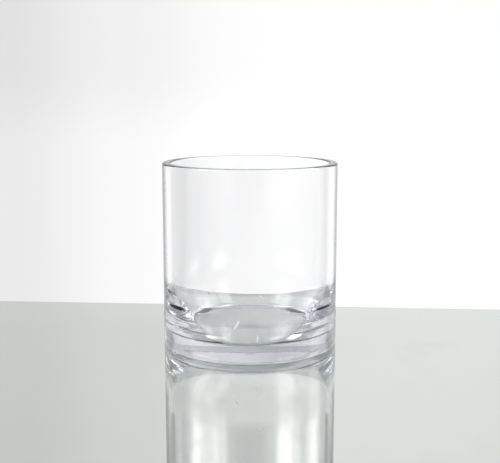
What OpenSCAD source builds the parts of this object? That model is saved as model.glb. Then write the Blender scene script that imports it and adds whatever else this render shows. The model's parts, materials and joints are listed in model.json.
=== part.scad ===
// Glass cylinder vase: one piece of clear glass with a round rim and a thick base.
// Millimetres, +Z up. The origin is the centre of the base, on the plane the vase stands on.

/* [Cylinder] */
// Outside diameter of the wall
outer_d = 100; // [80:1:200]
// Height from the contact ring to the top of the rim
height = 104; // [80:1:300]
// Wall thickness along the straight part
wall_t = 4.9; // [3:0.1:6]

/* [Rim] */
// Radius that rounds both edges of the rim
rim_r = 1.2; // [0.5:0.1:1.4]

/* [Base] */
// Glass thickness between the cavity floor and the plane the vase stands on
base_t = 6.8; // [5:0.1:12]
// Radius of the slow curve that leaves the inner wall
sweep_r = 65; // [20:1:70]
// Angle through which the slow curve turns
sweep_turn = 28; // [10:1:32]
// Radius of the tight curve from the slow one to the cavity floor
corner_r = 3; // [1:0.1:8]
// Radius of the heel, where the outer wall turns under
heel_r = 17; // [6:0.5:30]
// Height of the heel above the contact ring
heel_h = 3.2; // [1.5:0.1:5]
// Width of the flat ring that touches the surface
ring_w = 8.7; // [3:0.1:12]
// Depth of the push-up in the middle of the underside
push_up = 0.2; // [0.1:0.1:2]

/* [Quality] */
// Segments in a full circle
segments = 128; // [48:8:256]

/* [Hidden] */

outer_r = outer_d / 2;
inner_r = outer_r - wall_t;
// Centre of the tight curve, and the radius where the flat cavity floor ends
corner_z = base_t + corner_r;
floor_r = inner_r - sweep_r + (sweep_r - corner_r) * cos(sweep_turn);
// Heights where the slow curve leaves the inner wall and where the tight curve takes over
sweep_z = corner_z + (sweep_r - corner_r) * sin(sweep_turn);
turn_z = corner_z - corner_r * sin(sweep_turn);
// Outer and inner edges of the contact ring
ring_outer_r = outer_r - heel_r + sqrt(pow(heel_r, 2) - pow(heel_h, 2));
ring_inner_r = ring_outer_r - ring_w;
// A sphere of this radius hollows the underside to the push-up depth inside the ring
push_sphere_r = (pow(ring_inner_r, 2) + pow(push_up, 2)) / (2 * push_up);
glass_clear = [0.86, 0.92, 0.93, 0.45];
$fn = segments;

// What a rounding of radius `r` takes off a square corner that points to +X +Y
module edge_waste(r) {
    margin = r * 0.5;
    difference() {
        square(r + margin);
        circle(r);
    }
}

// The outside of the vase: wall, heel and the outer edge of the rim
module outer_section() {
    difference() {
        square([outer_r, height]);
        translate([outer_r - heel_r, heel_h]) mirror([0, 1]) edge_waste(heel_r);
        translate([outer_r - rim_r, height - rim_r]) edge_waste(rim_r);
    }
}

// The part of a disc of radius `r` round (x, z) that lies between the levels `z0` and `z1`
module disc_slice(x, z, r, z0, z1) {
    intersection() {
        translate([x, z]) circle(r, $fn = segments * 4);
        translate([0, z0]) square([inner_r, z1 - z0]);
    }
}

// The cavity: straight bore, slow curve, tight curve and flat floor, running out past the rim
module cavity_section() {
    translate([0, sweep_z]) square([inner_r, height + rim_r - sweep_z]);
    disc_slice(inner_r - sweep_r, sweep_z, sweep_r, turn_z, sweep_z);
    disc_slice(floor_r, corner_z, corner_r, base_t, turn_z);
    translate([0, base_t]) square([floor_r, turn_z - base_t]);
}

// What rounds the inner edge of the rim
module rim_inner_waste() {
    translate([inner_r + rim_r, height - rim_r]) mirror([1, 0]) edge_waste(rim_r);
}

// The shallow dish under the base
module push_up_section() {
    intersection() {
        translate([0, push_up - push_sphere_r]) circle(push_sphere_r, $fn = segments * 64);
        square([ring_inner_r, push_up]);
    }
}

module glass_vase() {
    color(glass_clear)
    rotate_extrude()
    difference() {
        outer_section();
        cavity_section();
        rim_inner_waste();
        push_up_section();
    }
}

glass_vase();
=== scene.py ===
"""Looks of the glass cylinder vase: one blown glass body on a plain pale table in soft studio light."""

import json
import math
import random

import bmesh
import bpy
from bpy.props import (
    FloatProperty,
    FloatVectorProperty,
    IntProperty,
    PointerProperty,
)
from mathutils import Matrix, Vector, noise


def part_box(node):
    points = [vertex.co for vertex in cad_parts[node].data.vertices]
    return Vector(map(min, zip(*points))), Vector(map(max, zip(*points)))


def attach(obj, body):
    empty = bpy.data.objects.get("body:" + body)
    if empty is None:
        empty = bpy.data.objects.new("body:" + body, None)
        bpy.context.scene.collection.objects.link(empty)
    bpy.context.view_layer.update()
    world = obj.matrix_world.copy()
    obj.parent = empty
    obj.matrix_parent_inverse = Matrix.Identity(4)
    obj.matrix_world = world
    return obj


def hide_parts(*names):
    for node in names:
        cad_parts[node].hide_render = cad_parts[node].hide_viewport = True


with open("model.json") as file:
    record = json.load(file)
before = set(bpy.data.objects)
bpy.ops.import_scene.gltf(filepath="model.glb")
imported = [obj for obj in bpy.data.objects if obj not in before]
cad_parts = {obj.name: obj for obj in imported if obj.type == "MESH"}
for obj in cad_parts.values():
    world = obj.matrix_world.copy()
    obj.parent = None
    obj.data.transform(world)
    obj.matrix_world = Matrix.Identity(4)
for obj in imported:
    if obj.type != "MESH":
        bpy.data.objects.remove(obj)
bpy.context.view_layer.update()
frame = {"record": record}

bl_info = {
    "name": "Glass cylinder vase",
    "version": (1, 0, 0),
    "blender": (4, 5, 0),
    "location": "3D View > Sidebar > Vase",
    "description": "Builds a blown glass cylinder vase with its ripples, seeds and studio table",
    "category": "Add Mesh",
}

MM = 0.001
VASE_LOW, VASE_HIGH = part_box("glass_vase")
OUTER_RADIUS = (VASE_HIGH.x - VASE_LOW.x) / 2
VASE_HEIGHT = VASE_HIGH.z - VASE_LOW.z
MOUTH = next(m for m in frame["record"]["mounts"] if m["name"] == "mouth")
BORE_RADIUS = MOUTH["dims"]["r_mm"] * MM


def length(name, description, default, low=0.0, high=2.0):
    """A length in metres that the sidebar shows in the scene's own units."""
    return FloatProperty(
        name=name, description=description, default=default, min=low, max=high,
        subtype="DISTANCE", unit="LENGTH", precision=5,
    )


def tint(name, description, default):
    """A linear colour."""
    return FloatVectorProperty(
        name=name, description=description, default=default, min=0.0, max=1.0, size=3, subtype="COLOR"
    )


class VaseShape(bpy.types.PropertyGroup):
    """Sizes of the glass body."""

    outer_radius: length("Outer radius", "Radius of the outside wall", OUTER_RADIUS)
    height: length("Height", "Contact ring to the top of the rim", VASE_HEIGHT)
    bore_radius: length("Bore radius", "Radius of the straight inner wall", BORE_RADIUS)
    rim_round: length("Rim round", "Radius on both edges of the rim", 1.2 * MM)
    floor_thickness: length("Floor thickness", "Glass under the cavity floor", 6.8 * MM)
    sweep_radius: length("Sweep radius", "Slow curve that leaves the inner wall", 65.0 * MM)
    sweep_turn: FloatProperty(
        name="Sweep turn", description="How far the slow curve turns",
        default=math.radians(28), subtype="ANGLE",
    )
    corner_radius: length("Corner radius", "Tight curve from the sweep to the floor", 3.0 * MM)
    heel_radius: length("Heel radius", "Round where the wall turns under", 17.0 * MM)
    heel_height: length("Heel height", "Where the straight wall gives way to the heel", 3.2 * MM)
    ring_width: length("Contact ring width", "Flat ring that the vase stands on", 8.7 * MM)
    push_up: length("Push-up", "Depth of the dish under the base", 0.2 * MM)
    turns: IntProperty(name="Columns", description="Columns of faces round the glass", default=320, min=48)


class BlownGlass(bpy.types.PropertyGroup):
    """How far the hand-made surface strays from the true shape."""

    outer_wave: length("Outer wave", "Height of the slow waves on the outside", 0.03 * MM)
    inner_wave: length("Inner wave", "Height of the slow waves on the inside", 0.09 * MM)
    ripple_height: length("Ripple height", "Height of the rings on the sweep", 0.028 * MM)
    ripple_spacing: length("Ripple spacing", "Distance between rings on the sweep", 1.7 * MM)
    rim_wave: length("Rim wave", "Unevenness of the fire-polished rim", 0.05 * MM)
    seed_count: IntProperty(name="Seeds", description="Small round bubbles in the wall", default=26, min=0)
    seed_radius: length("Seed radius", "Largest radius of a scattered seed", 0.16 * MM)


class GlassLook(bpy.types.PropertyGroup):
    """Finish of the glass, and the painted shade on its outside wall."""

    clear: tint("Clear", "Colour of a clean surface", (1.0, 1.0, 1.0))
    # Painted shade: a dark colour laid on the outside wall where it turns away at a grazing angle
    edge: tint("Edge", "Colour of the outside wall seen at a grazing angle", (0.05, 0.05, 0.06))
    lip_roughness: FloatProperty(
        name="Lip roughness", description="Roughness of the ground lip", default=0.22, min=0, max=1
    )
    handled: tint("Handled", "Colour where the surface was handled", (0.965, 0.97, 0.98))
    depth_tint: tint("Depth tint", "What is left of white light deep in the glass", (0.56, 0.565, 0.64))
    depth_density: FloatProperty(name="Depth density", description="Absorption per metre", default=9.0)
    ior: FloatProperty(name="IOR", description="Index of refraction", default=1.51, min=1.3, max=1.9)
    film: tint("Film", "Colour of the pale strokes", (0.95, 0.95, 0.94))
    # A greyer tone in patches of the pale strokes
    greyer_film: tint("Worn film", "Colour of the pale strokes where they are worn", (0.80, 0.80, 0.80))
    film_roughness: FloatProperty(
        name="Film roughness", description="Roughness of the pale strokes", default=0.7, min=0, max=1
    )


class StageLook(bpy.types.PropertyGroup):
    """Table, surroundings, lamps and camera."""

    table_colour: tint("Table", "Colour of the table top", (0.66, 0.69, 0.66))
    table_metallic: FloatProperty(
        name="Table metallic", description="How far the table acts as a mirror", default=0.85, min=0, max=1
    )
    table_ior: FloatProperty(name="Table IOR", description="Index of its polish", default=1.6, min=1)
    table_back: length("Table back", "From the vase's axis to the far edge of the table", 83.0 * MM)
    surround: tint("Surround", "Colour of the studio overhead", (0.95, 0.96, 1.0))
    overhead: FloatProperty(name="Overhead", description="Brightness overhead", default=0.75, min=0)
    lamp_strength: FloatProperty(name="Lamps", description="Brightness of the lamps", default=4.0, min=0)
    top_lamp: FloatProperty(name="Top lamp", description="Brightness over the backdrop", default=0.3, min=0)
    camera_distance: length("Camera distance", "From the vase's axis, level", 519.5 * MM)
    camera_height: length("Camera height", "Above the table", 147.6 * MM)
    camera_tilt: FloatProperty(
        name="Camera tilt", description="Below the horizon", default=math.radians(9.17), subtype="ANGLE"
    )
    lens: FloatProperty(name="Lens", description="Focal length on a 36 mm sensor, in mm", default=65.7)


# ---------------------------------------------------------------- profile of the glass

def arc(centre_r, centre_z, radius, start, end, steps):
    """Points of an arc in the half section, angles in degrees from +r towards +z."""
    points = []
    for i in range(steps + 1):
        a = math.radians(start + (end - start) * i / steps)
        points.append((centre_r + radius * math.cos(a), centre_z + radius * math.sin(a)))
    return points


def straight(a, b, steps):
    """Points between two ends, without the ends."""
    return [(a[0] + (b[0] - a[0]) * i / steps, a[1] + (b[1] - a[1]) * i / steps) for i in range(1, steps)]


def half_section(s):
    """The outline from the middle of the underside round to the middle of the floor, with the name
    of the stretch that each point lies on."""
    heel_turn = math.degrees(math.asin(s.heel_height / s.heel_radius))
    heel_centre = s.outer_radius - s.heel_radius
    ring_outer = heel_centre + s.heel_radius * math.cos(math.radians(heel_turn))
    ring_inner = ring_outer - s.ring_width
    top = s.height - s.rim_round
    turn = math.degrees(s.sweep_turn)
    corner_level = s.floor_thickness + s.corner_radius
    centre_gap = s.sweep_radius - s.corner_radius
    sweep_start = corner_level + centre_gap * math.sin(s.sweep_turn)
    sweep_centre = s.bore_radius - s.sweep_radius
    floor_radius = sweep_centre + centre_gap * math.cos(s.sweep_turn)
    outline = []

    def add(stretch, points):
        for r, z in points:
            if not outline or math.dist(outline[-1][:2], (r, z)) > 1e-7:
                outline.append((r, z, stretch))

    dish = [(ring_inner * i / 24, s.push_up * (1 - (i / 24) ** 2)) for i in range(24)]
    add("dish", dish)
    add("ring", [(ring_inner, 0)] + straight((ring_inner, 0), (ring_outer, 0), 4))
    add("heel", arc(heel_centre, s.heel_height, s.heel_radius, -heel_turn, 0, 20))
    add("outer", straight((s.outer_radius, s.heel_height), (s.outer_radius, top), 64))
    add("rim", arc(s.outer_radius - s.rim_round, top, s.rim_round, 0, 90, 10))
    add("rim", arc(s.bore_radius + s.rim_round, top, s.rim_round, 90, 180, 10))
    add("inner", straight((s.bore_radius, top), (s.bore_radius, sweep_start), 56))
    add("sweep", arc(sweep_centre, sweep_start, s.sweep_radius, 0, -turn, 64))
    add("sweep", arc(floor_radius, corner_level, s.corner_radius, -turn, -90, 24)[1:])
    add("floor", straight((floor_radius, s.floor_thickness), (0, s.floor_thickness), 28))
    add("floor", [(0.0, s.floor_thickness)])
    return outline


# How closely the waves, the rings' drift and their patches follow each other, per metre of glass
OUTER_GRAIN, RIM_GRAIN, INNER_GRAIN, FINE_GRAIN, DRIFT_GRAIN, PATCH_GRAIN = 38, 30, 46, 150, 22, 33
# How far the rings wander, in spacings, and how much of the inner wave is slow and how much fine
RING_DRIFT = 0.8
SLOW_SHARE, FINE_SHARE = 0.75, 0.10


def smooth(low, high, x):
    """0 below low, 1 above high, eased between."""
    t = min(max((x - low) / (high - low), 0.0), 1.0)
    return t * t * (3 - 2 * t)


def strayed(point, stretch, normal, shape, blown):
    """A point of the true surface moved along its normal as blown glass is."""
    p = Vector(point)
    radius = math.hypot(p.x, p.y)
    if stretch in ("dish", "ring", "heel"):
        return p
    if stretch == "outer":
        fade = smooth(shape.heel_height, shape.heel_height * 4, p.z)
        fade *= smooth(shape.height, shape.height - 8 * MM, p.z)
        wave = noise.noise(Vector((p.x, p.y, p.z * 0.55)) * OUTER_GRAIN)
        return p + normal * blown.outer_wave * wave * fade
    if stretch == "rim":
        swell = noise.noise(Vector((p.x, p.y, 0.4)) * RIM_GRAIN)
        return p + Vector((0, 0, blown.rim_wave * swell))
    # Inside: slow waves everywhere, and rings round the sweep that come and go
    level = p.z - shape.floor_thickness
    slow = noise.noise(Vector((p.x, p.y, p.z * 0.5)) * INNER_GRAIN + Vector((3.1, 0, 0)))
    fine = noise.noise(Vector((p.x, p.y, p.z * 0.35)) * FINE_GRAIN + Vector((0, 7.7, 0)))
    fade = smooth(shape.height, shape.height - 10 * MM, p.z)
    fade *= smooth(0, 10 * MM, radius)
    offset = blown.inner_wave * (SLOW_SHARE * slow + FINE_SHARE * fine) * fade
    across = (shape.bore_radius - radius) + level * 0.55
    drift = RING_DRIFT * noise.noise(Vector((p.x, p.y, 0)) * DRIFT_GRAIN)
    rings = math.sin(2 * math.pi * (across / blown.ripple_spacing + drift))
    on_sweep = smooth(36 * MM, 14 * MM, level) * smooth(20 * MM, 36 * MM, radius)
    patch = 0.55 + 0.45 * noise.noise(Vector((p.x, p.y, p.z)) * PATCH_GRAIN + Vector((0, 0, 5.2)))
    return p + normal * (offset + blown.ripple_height * rings * on_sweep * patch)


def turned_body(mesh, shape, blown):
    """Turns the outline round the axis into one closed mesh."""
    outline = half_section(shape)
    count = len(outline)
    rows = []
    for i, (r, z, stretch) in enumerate(outline):
        before, after = outline[max(i - 1, 0)], outline[min(i + 1, count - 1)]
        run = Vector((after[0] - before[0], after[1] - before[1])).normalized()
        out_r, out_z = run.y, -run.x
        row = []
        steps = 1 if r < 1e-7 else shape.turns
        for k in range(steps):
            a = 2 * math.pi * k / shape.turns
            c, s = math.cos(a), math.sin(a)
            point = (r * c, r * s, z)
            normal = Vector((out_r * c, out_r * s, out_z))
            row.append(mesh.verts.new(strayed(point, stretch, normal, shape, blown)))
        rows.append(row)
    for low, high in zip(rows, rows[1:]):
        for k in range(shape.turns):
            n = (k + 1) % shape.turns
            if len(low) == 1:
                mesh.faces.new((low[0], high[n], high[k]))
            elif len(high) == 1:
                mesh.faces.new((low[k], low[n], high[0]))
            else:
                mesh.faces.new((low[k], low[n], high[n], high[k]))


def bubble(mesh, centre, radii):
    """A closed hollow inside the glass. Its faces look into the hollow, away from the glass."""
    place = Matrix.Translation(centre) @ Matrix.Diagonal((*radii, 1))
    made = bmesh.ops.create_icosphere(mesh, subdivisions=3, radius=1.0, matrix=place)
    skin = {face for vert in made["verts"] for face in vert.link_faces}
    bmesh.ops.reverse_faces(mesh, faces=list(skin))


# Upright bubbles drawn out in the wall: angle round the axis in degrees, then in mm the height, the
# distance from the axis, half the length and half the width
DRAWN_SEEDS = (
    (-117.0, 37.4, 47.6, 0.5, 0.35),
    (-139.0, 39.7, 47.6, 0.25, 0.2),
    (-78.0, 35.4, 47.6, 0.25, 0.2),
    (90.0, 93.6, 47.6, 0.3, 0.25),
)
# The scattered seeds start from this draw
SEED_DRAW = 11

# Pale strokes on the outside of the wall: angle round the axis in degrees, then in mm the height,
# half the length and half the width, and the lean from upright in degrees
STROKES = (
    (-98.2, 21.4, 2.8, 0.5, 33.0),
    (-85.4, 13.9, 1.9, 0.4, 3.0),
    (-83.4, 36.8, 1.2, 0.36, -54.0),
)
STROKE_STEPS = 12
STROKE_FILM = 0.012 * MM
STROKE_GAP = 0.03 * MM
STROKE_TIP = 0.02 * MM


def add_seeds(mesh, shape, blown):
    """Drawn bubbles at their own places, and fine round ones scattered through the wall."""
    for angle, height, out, half_length, half_width in DRAWN_SEEDS:
        a = math.radians(angle)
        centre = Vector((out * math.cos(a), out * math.sin(a), height)) * MM
        bubble(mesh, centre, (half_width * MM, half_width * MM, half_length * MM))
    chance = random.Random(SEED_DRAW)
    middle = (shape.outer_radius + shape.bore_radius) / 2
    spread = (shape.outer_radius - shape.bore_radius) * 0.25
    for _ in range(blown.seed_count):
        a = chance.uniform(0, 2 * math.pi)
        out = middle + chance.uniform(-spread, spread)
        height = chance.uniform(0.06, 0.93) * shape.height
        size = blown.seed_radius * chance.uniform(0.35, 1.0)
        centre = Vector((out * math.cos(a), out * math.sin(a), height))
        bubble(mesh, centre, (size, size, size * chance.uniform(1.0, 2.2)))


def stroke(mesh, shape, angle, height, half_length, half_width, lean):
    """A thin pale stroke that follows the outside of the wall: a bent, pointed strip of film."""
    lean_cos, lean_sin = math.cos(math.radians(lean)), math.sin(math.radians(lean))
    rows = []
    for i in range(STROKE_STEPS + 1):
        t = 2 * i / STROKE_STEPS - 1
        wide = half_width * MM * math.sqrt(max(1 - t * t, 0.0)) + STROKE_TIP
        row = []
        for side, lift in ((-1, 0), (1, 0), (1, 1), (-1, 1)):
            along, across = t * half_length * MM, side * wide
            level = along * lean_cos - across * lean_sin
            a = math.radians(angle) + (along * lean_sin + across * lean_cos) / shape.outer_radius
            out = shape.outer_radius + STROKE_GAP + STROKE_FILM * lift
            row.append(mesh.verts.new((out * math.cos(a), out * math.sin(a), height * MM + level)))
        rows.append(row)
    for low, high in zip(rows, rows[1:]):
        for k in range(4):
            n = (k + 1) % 4
            mesh.faces.new((low[k], low[n], high[n], high[k]))
    mesh.faces.new(rows[0][::-1])
    mesh.faces.new(rows[-1])


# ---------------------------------------------------------------- materials

def new_material(name):
    """A new material, its node tree, its Principled shader and its output node."""
    material = bpy.data.materials.new(name)
    material.use_nodes = True
    tree = material.node_tree
    return material, tree, tree.nodes["Principled BSDF"], tree.nodes["Material Output"]


def calc(tree, operation, *values):
    """The result of a Math node whose inputs are sockets or plain numbers."""
    node = tree.nodes.new("ShaderNodeMath")
    node.operation = operation
    for socket, value in zip(node.inputs, values):
        if isinstance(value, bpy.types.NodeSocket):
            tree.links.new(value, socket)
        else:
            socket.default_value = value
    return node.outputs[0]


def eased(tree, value, low, high, start=0.0, end=1.0, curve="SMOOTHSTEP"):
    """A value led from start, where the input is at low, to end, where it is at high."""
    node = tree.nodes.new("ShaderNodeMapRange")
    node.interpolation_type = curve
    tree.links.new(value, node.inputs["Value"])
    for name, number in zip(("From Min", "From Max", "To Min", "To Max"), (low, high, start, end)):
        node.inputs[name].default_value = number
    return node.outputs[0]


def blended(tree, factor, first, second):
    """A Mix node's colour between two sockets or plain colours."""
    node = tree.nodes.new("ShaderNodeMix")
    node.data_type = "RGBA"
    tree.links.new(factor, node.inputs["Factor"])
    for name, value in (("A", first), ("B", second)):
        if isinstance(value, bpy.types.NodeSocket):
            tree.links.new(value, node.inputs[name])
        else:
            node.inputs[name].default_value = (*value, 1)
    return node.outputs["Result"]


def smudge_group():
    """Node group: a mask of faint wiped smudges and specks of dust over a surface."""
    group = bpy.data.node_groups.new("handled_surface", "ShaderNodeTree")
    face = group.interface
    scale = face.new_socket(name="Scale", in_out="INPUT", socket_type="NodeSocketFloat")
    scale.default_value = 1.0
    amount = face.new_socket(name="Dust", in_out="INPUT", socket_type="NodeSocketFloat")
    amount.default_value = 0.5
    face.new_socket(name="Smudge", in_out="OUTPUT", socket_type="NodeSocketFloat")
    face.new_socket(name="Speck", in_out="OUTPUT", socket_type="NodeSocketFloat")
    nodes, links = group.nodes, group.links
    inputs = nodes.new("NodeGroupInput")
    outputs = nodes.new("NodeGroupOutput")
    place = nodes.new("ShaderNodeTexCoord")
    sized = nodes.new("ShaderNodeVectorMath")
    sized.operation = "SCALE"
    links.new(place.outputs["Object"], sized.inputs[0])
    links.new(inputs.outputs["Scale"], sized.inputs["Scale"])
    stretch = nodes.new("ShaderNodeMapping")
    stretch.inputs["Scale"].default_value = (1.0, 1.0, 0.35)
    links.new(sized.outputs[0], stretch.inputs["Vector"])
    smear = nodes.new("ShaderNodeTexNoise")
    smear.inputs["Scale"].default_value = 42.0
    smear.inputs["Detail"].default_value = 5.0
    smear.inputs["Roughness"].default_value = 0.62
    links.new(stretch.outputs[0], smear.inputs["Vector"])
    patch = eased(group, smear.outputs["Fac"], 0.52, 0.78)
    dots = nodes.new("ShaderNodeTexVoronoi")
    dots.inputs["Scale"].default_value = 260.0
    links.new(sized.outputs[0], dots.inputs["Vector"])
    dot = eased(group, dots.outputs["Distance"], 0.10, 0.04, curve="LINEAR")
    chosen = nodes.new("ShaderNodeSeparateColor")
    links.new(dots.outputs["Color"], chosen.inputs[0])
    some = calc(group, "LESS_THAN", chosen.outputs[0], inputs.outputs["Dust"])
    speck = calc(group, "MULTIPLY", dot, some)
    links.new(patch, outputs.inputs["Smudge"])
    links.new(speck, outputs.inputs["Speck"])
    return group


def marks_on(tree, scale, dust):
    """The handled surface in a material: its smudge and speck masks."""
    marks = tree.nodes.new("ShaderNodeGroup")
    marks.node_tree = bpy.data.node_groups.get("handled_surface") or smudge_group()
    marks.inputs["Scale"].default_value = scale
    marks.inputs["Dust"].default_value = dust
    return marks.outputs["Smudge"], marks.outputs["Speck"]


# Where painted shade darkens the outside wall: how far it has turned away, and the heights where that sets
# in
PAINTED_SHADE_TURN = (0.66, 0.82)
PAINTED_SHADE_START = (18 * MM, 30 * MM)
# Roughness of a smudge on clear glass, and the height of the drawn grain in its surface
SMUDGED_ROUGHNESS = 0.035
PULL_HEIGHT = 0.02 * MM


def clear_glass(look, shape):
    """Soda-lime glass with faint smudges and dust, a ground and fire-polished lip, a slight pull of the
    surface, and painted shade that darkens the outside wall where it turns away."""
    material, tree, shader, output = new_material("clear_glass")
    nodes, links = tree.nodes, tree.links
    shader.inputs["Metallic"].default_value = 0.0
    shader.inputs["Transmission Weight"].default_value = 1.0
    shader.inputs["IOR"].default_value = look.ior
    place = nodes.new("ShaderNodeTexCoord")
    split = nodes.new("ShaderNodeSeparateXYZ")
    links.new(place.outputs["Object"], split.inputs[0])
    across, along, up = split.outputs
    squares = calc(tree, "ADD", calc(tree, "POWER", across, 2), calc(tree, "POWER", along, 2))
    radius = calc(tree, "SQRT", squares)
    lip = eased(tree, up, shape.height - shape.rim_round, shape.height - 0.2 * shape.rim_round)
    marked = calc(tree, "MAXIMUM", *marks_on(tree, 1.0, 0.05))
    colour = blended(tree, marked, look.clear, look.handled)
    # Painted shade: the outside wall's colour darkens where it turns away, between the sweep and the lip
    grazing = nodes.new("ShaderNodeLayerWeight")
    turned = eased(tree, grazing.outputs["Facing"], *PAINTED_SHADE_TURN)
    outside = eased(tree, radius, shape.outer_radius - 2 * MM, shape.outer_radius - 1 * MM)
    upright = calc(tree, "MULTIPLY", eased(tree, up, *PAINTED_SHADE_START), calc(tree, "SUBTRACT", 1.0, lip))
    # The mask of the painted shade on the outside wall
    skin = calc(tree, "MULTIPLY", turned, calc(tree, "MULTIPLY", outside, upright))
    links.new(blended(tree, skin, colour, look.edge), shader.inputs["Base Color"])
    ground = calc(tree, "MULTIPLY", lip, look.lip_roughness)
    smeared = calc(tree, "MULTIPLY", marked, SMUDGED_ROUGHNESS)
    links.new(calc(tree, "MAXIMUM", ground, smeared), shader.inputs["Roughness"])
    drawn = nodes.new("ShaderNodeMapping")
    drawn.inputs["Scale"].default_value = (1.0, 1.0, 0.3)
    pull = nodes.new("ShaderNodeTexNoise")
    pull.inputs["Scale"].default_value = 120.0
    pull.inputs["Detail"].default_value = 2.0
    bump = nodes.new("ShaderNodeBump")
    bump.inputs["Strength"].default_value = 0.35
    bump.inputs["Distance"].default_value = PULL_HEIGHT
    links.new(place.outputs["Object"], drawn.inputs["Vector"])
    links.new(drawn.outputs[0], pull.inputs["Vector"])
    links.new(pull.outputs["Fac"], bump.inputs["Height"])
    links.new(bump.outputs[0], shader.inputs["Normal"])
    depth = nodes.new("ShaderNodeVolumeAbsorption")
    depth.inputs["Color"].default_value = (*look.depth_tint, 1)
    depth.inputs["Density"].default_value = look.depth_density
    links.new(depth.outputs[0], output.inputs["Volume"])
    return material


def pale_stroke_white(look):
    """Rough pale white for the strokes on the outside of the wall, a little greyer in patches."""
    material, tree, shader, _ = new_material("pale_stroke_white")
    smudge, _ = marks_on(tree, 4.0, 0.1)
    tree.links.new(blended(tree, smudge, look.film, look.greyer_film), shader.inputs["Base Color"])
    shader.inputs["Roughness"].default_value = look.film_roughness
    return material


def table_top(look):
    """Pale polished table with a soft mirror finish."""
    material, tree, shader, _ = new_material("pale_table_top")
    smudge, _ = marks_on(tree, 0.35, 0.04)
    smudged = tuple(c * 0.95 for c in look.table_colour)
    tree.links.new(blended(tree, smudge, look.table_colour, smudged), shader.inputs["Base Color"])
    rough = eased(tree, smudge, 0.0, 1.0, 0.012, 0.04, curve="LINEAR")
    tree.links.new(rough, shader.inputs["Roughness"])
    shader.inputs["Metallic"].default_value = look.table_metallic
    shader.inputs["IOR"].default_value = look.table_ior
    return material


# ---------------------------------------------------------------- stage

def link(name, data):
    """A new object in the scene."""
    made = bpy.data.objects.new(name, data)
    bpy.context.scene.collection.objects.link(made)
    return made


def into_object(name, bm):
    """A new object in the scene from a finished mesh in the making."""
    mesh = bpy.data.meshes.new(name)
    bm.to_mesh(mesh)
    bm.free()
    return link(name, mesh)


# The table in metres. The slant is how much nearer its far edge comes per metre to the right.
TABLE_HALF_WIDTH = 1.4
TABLE_FRONT = -0.42
TABLE_THICKNESS = 12 * MM
TABLE_GAP = 0.1 * MM
TABLE_ROUND = 0.6 * MM
TABLE_SLANT = 0.07


def table_slab(look):
    """The table: a thick slab whose far edge runs close behind the vase."""
    bm = bmesh.new()
    half, back, slant = TABLE_HALF_WIDTH, look.table_back, TABLE_HALF_WIDTH * TABLE_SLANT
    corners = [(-half, TABLE_FRONT), (half, TABLE_FRONT), (half, back - slant), (-half, back + slant)]
    top = [bm.verts.new((x, y, -TABLE_GAP)) for x, y in corners]
    low = [bm.verts.new((x, y, -TABLE_THICKNESS)) for x, y in corners]
    bm.faces.new(top)
    bm.faces.new(low[::-1])
    for k in range(4):
        n = (k + 1) % 4
        bm.faces.new((top[n], top[k], low[k], low[n]))
    bmesh.ops.recalc_face_normals(bm, faces=bm.faces)
    bmesh.ops.bevel(
        bm, geom=[e for e in bm.edges if all(v in top for v in e.verts)],
        offset=TABLE_ROUND, segments=3, affect="EDGES", profile=0.6,
    )
    return into_object("table", bm)


def ramped(tree, value, stops):
    """Greys eased between stops, each a position and a brightness."""
    ramp = tree.nodes.new("ShaderNodeValToRGB")
    ramp.color_ramp.interpolation = "EASE"
    elements = ramp.color_ramp.elements
    while len(elements) > 1:
        elements.remove(elements[-1])
    elements[0].position = stops[0][0]
    elements[0].color = (*(stops[0][1],) * 3, 1)
    for position, brightness in stops[1:]:
        stop = elements.new(position)
        stop.color = (brightness, brightness, brightness, 1)
    tree.links.new(value, ramp.inputs[0])
    return ramp.outputs[0]


# Bearings are in turns: 0 is straight behind the vase, 0.25 its right, 0.5 the camera's side and
# 0.75 its left. Each stop pairs a bearing with a brightness or a share.
BACKDROP_STOPS = (
    (0.0, 0.99), (0.012, 1.02), (0.035, 1.02), (0.055, 0.97), (0.08, 1.02), (0.5, 1.02), (0.88, 0.97),
    (0.93, 0.90), (0.959, 0.76), (0.9775, 0.875), (1.0, 0.99),
)
# How much of each bearing the backdrop fills
BACKDROP_WIDTH_STOPS = ((0.0, 1.0), (0.125, 1.0), (0.16, 0.0), (0.84, 0.0), (0.875, 1.0), (1.0, 1.0))
ROOM_STOPS = (
    (0.0, 0.75), (0.09, 0.6), (0.13, 0.45), (0.19, 0.55), (0.25, 0.7), (0.33, 0.7), (0.42, 0.65),
    (0.50, 0.5), (0.58, 0.65), (0.70, 0.7), (0.77, 0.7), (0.81, 0.55), (0.87, 0.45), (0.91, 0.6),
    (1.0, 0.75),
)
# The floor under the camera
DARK_FRONT_STOPS = ((0.0, 0.0), (0.42, 0.0), (0.455, 1.0), (0.545, 1.0), (0.58, 0.0), (1.0, 0.0))
# The lamps: a wide one to the left of the camera, and two narrow ones to its right
LAMP_STOPS = (
    (0.19, 0.0), (0.22, 1.0), (0.245, 1.0), (0.28, 0.0), (0.325, 0.0), (0.35, 1.0), (0.385, 1.0),
    (0.41, 0.0), (0.61, 0.0), (0.65, 1.0), (0.72, 1.0), (0.76, 0.0),
)
# The lamp over the backdrop
TOP_LAMP_STOPS = ((0.0, 1.0), (0.06, 1.0), (0.09, 0.0), (0.91, 0.0), (0.94, 1.0), (1.0, 1.0))
# Where the upper part of the backdrop is shaded by the stand that holds it
SHADED_STOPS = ((0.0, 1.0), (0.003, 1.0), (0.010, 0.0), (0.990, 0.0), (0.997, 1.0), (1.0, 1.0))
# Heights below are the upward part of a direction, except the slopes, which are height over distance
BACKDROP_TOP = 0.47
BACKDROP_SOFTNESS = 0.03
CEILING_RISE = (0.35, 0.65)
LAMP_FOOT = (0.20, 0.40)
LAMP_HEAD = (0.85, 0.55)
TOP_LAMP_HEAD = (1.4, 0.7)
UNDER_TABLE = (0.0, -0.06)
UNDER_TABLE_GREY = (0.3, 0.3, 0.3)


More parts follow.
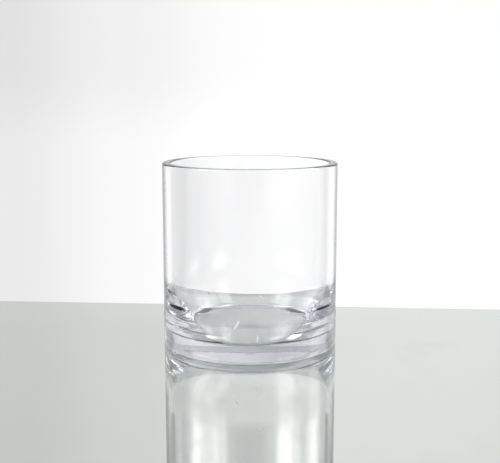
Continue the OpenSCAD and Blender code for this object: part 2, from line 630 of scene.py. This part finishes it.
def surround(look):
    """A studio: a white backdrop behind the vase, a grey room, and tall soft lamps at both sides."""
    world = bpy.data.worlds.new("studio_surround")
    bpy.context.scene.world = world
    world.use_nodes = True
    tree = world.node_tree
    nodes, links = tree.nodes, tree.links
    place = nodes.new("ShaderNodeTexCoord")
    split = nodes.new("ShaderNodeSeparateXYZ")
    links.new(place.outputs["Generated"], split.inputs[0])
    right, away, up = split.outputs
    bearing = calc(tree, "FRACT", calc(tree, "DIVIDE", calc(tree, "ARCTAN2", right, away), 2 * math.pi))

    def by_bearing(stops):
        return ramped(tree, bearing, stops)

    slope = calc(tree, "DIVIDE", up, calc(tree, "MAXIMUM", away, 0.05))
    under_top = eased(tree, slope, BACKDROP_TOP + BACKDROP_SOFTNESS, BACKDROP_TOP - BACKDROP_SOFTNESS)
    sheet = calc(tree, "MULTIPLY", under_top, by_bearing(BACKDROP_WIDTH_STOPS))
    overhead = tuple(look.overhead * c for c in look.surround)
    room = blended(tree, eased(tree, up, *CEILING_RISE), by_bearing(ROOM_STOPS), overhead)
    under_table = calc(tree, "MULTIPLY", eased(tree, up, *UNDER_TABLE), by_bearing(DARK_FRONT_STOPS))
    room = blended(tree, under_table, room, UNDER_TABLE_GREY)
    lamp = calc(tree, "MULTIPLY", by_bearing(LAMP_STOPS), eased(tree, up, *LAMP_FOOT))
    lamp = calc(tree, "MULTIPLY", lamp, eased(tree, up, *LAMP_HEAD))
    past_top = eased(tree, slope, BACKDROP_TOP, BACKDROP_TOP + 2 * BACKDROP_SOFTNESS)
    over_top = calc(tree, "MULTIPLY", past_top, by_bearing(TOP_LAMP_STOPS))
    over_top = calc(tree, "MULTIPLY", over_top, eased(tree, slope, *TOP_LAMP_HEAD))
    # The light on the backdrop is a little stronger low down, behind the edge of the table, and
    # weaker in its shaded upper part
    low = eased(tree, up, 0.02, -0.08, 1.0, 1.09)
    shaded = calc(tree, "MULTIPLY", eased(tree, up, 0.29, 0.38, 0.0, 0.24), by_bearing(SHADED_STOPS))
    glow = nodes.new("ShaderNodeVectorMath")
    glow.operation = "SCALE"
    links.new(by_bearing(BACKDROP_STOPS), glow.inputs[0])
    links.new(calc(tree, "SUBTRACT", low, shaded), glow.inputs["Scale"])
    total = nodes.new("ShaderNodeVectorMath")
    total.operation = "ADD"
    links.new(blended(tree, sheet, room, glow.outputs[0]), total.inputs[0])
    lamps = calc(tree, "MULTIPLY", lamp, look.lamp_strength)
    top_lamp = calc(tree, "MULTIPLY", over_top, look.top_lamp)
    links.new(calc(tree, "ADD", lamps, top_lamp), total.inputs[1])
    links.new(total.outputs[0], nodes["Background"].inputs["Color"])


def add_camera(look):
    """The camera, which stands square to the vase and looks a little down on it."""
    data = bpy.data.cameras.new("camera")
    data.sensor_width = 36.0
    data.lens = look.lens
    data.clip_start = 0.01
    made = link("camera", data)
    made.location = (0, -look.camera_distance, look.camera_height)
    made.rotation_euler = (math.pi / 2 - look.camera_tilt, 0, 0)
    bpy.context.scene.camera = made


# ---------------------------------------------------------------- operators and panel

class VASE_OT_glass(bpy.types.Operator):
    """Build the glass body with its ripples and seeds"""

    bl_idname = "vase.glass"
    bl_label = "Glass body"
    bl_options = {"REGISTER", "UNDO"}

    def execute(self, context):
        scene = context.scene
        bm = bmesh.new()
        turned_body(bm, scene.vase_shape, scene.vase_blown)
        bmesh.ops.recalc_face_normals(bm, faces=bm.faces)
        add_seeds(bm, scene.vase_shape, scene.vase_blown)
        vase = into_object("blown_vase", bm)
        vase.data.polygons.foreach_set("use_smooth", [True] * len(vase.data.polygons))
        vase.data.materials.append(clear_glass(scene.vase_glass, scene.vase_shape))
        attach(vase, "root")
        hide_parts("glass_vase")
        return {"FINISHED"}


class VASE_OT_strokes(bpy.types.Operator):
    """Build the pale strokes on the outside of the wall"""

    bl_idname = "vase.strokes"
    bl_label = "Pale strokes"
    bl_options = {"REGISTER", "UNDO"}

    def execute(self, context):
        bm = bmesh.new()
        for placed in STROKES:
            stroke(bm, context.scene.vase_shape, *placed)
        bmesh.ops.recalc_face_normals(bm, faces=bm.faces)
        strokes = into_object("pale_strokes", bm)
        strokes.data.materials.append(pale_stroke_white(context.scene.vase_glass))
        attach(strokes, "root")
        return {"FINISHED"}


class VASE_OT_stage(bpy.types.Operator):
    """Build the table, surround and camera"""

    bl_idname = "vase.stage"
    bl_label = "Stage"
    bl_options = {"REGISTER", "UNDO"}

    def execute(self, context):
        look = context.scene.vase_stage
        table = table_slab(look)
        table.data.materials.append(table_top(look))
        surround(look)
        add_camera(look)
        scene = context.scene
        scene.view_settings.view_transform = "Standard"
        scene.cycles.max_bounces = 32
        scene.cycles.transmission_bounces = 32
        scene.cycles.glossy_bounces = 12
        return {"FINISHED"}


class VASE_PT_sidebar(bpy.types.Panel):
    """Sizes, finish and builders of the vase"""

    bl_label = "Glass cylinder vase"
    bl_space_type = "VIEW_3D"
    bl_region_type = "UI"
    bl_category = "Vase"

    def draw(self, context):
        scene = context.scene
        for title, group in (
            ("Shape", scene.vase_shape), ("Blown surface", scene.vase_blown),
            ("Glass", scene.vase_glass), ("Stage", scene.vase_stage),
        ):
            box = self.layout.box()
            box.label(text=title)
            for name in group.__annotations__:
                box.prop(group, name)
        self.layout.operator(VASE_OT_glass.bl_idname)
        self.layout.operator(VASE_OT_strokes.bl_idname)
        self.layout.operator(VASE_OT_stage.bl_idname)


CLASSES = (
    VaseShape, BlownGlass, GlassLook, StageLook,
    VASE_OT_glass, VASE_OT_strokes, VASE_OT_stage, VASE_PT_sidebar,
)
GROUPS = {
    "vase_shape": VaseShape, "vase_blown": BlownGlass, "vase_glass": GlassLook, "vase_stage": StageLook,
}


def register():
    for cls in CLASSES:
        bpy.utils.register_class(cls)
    for name, group in GROUPS.items():
        setattr(bpy.types.Scene, name, PointerProperty(type=group))


def unregister():
    for name in GROUPS:
        delattr(bpy.types.Scene, name)
    for cls in reversed(CLASSES):
        bpy.utils.unregister_class(cls)


def corners(box):
    """A box as plain lists of numbers."""
    return [list(map(float, corner)) for corner in box]


def main():
    register()
    bpy.ops.vase.glass()
    bpy.ops.vase.strokes()
    bpy.ops.vase.stage()


if __name__ == "__main__":
    main()
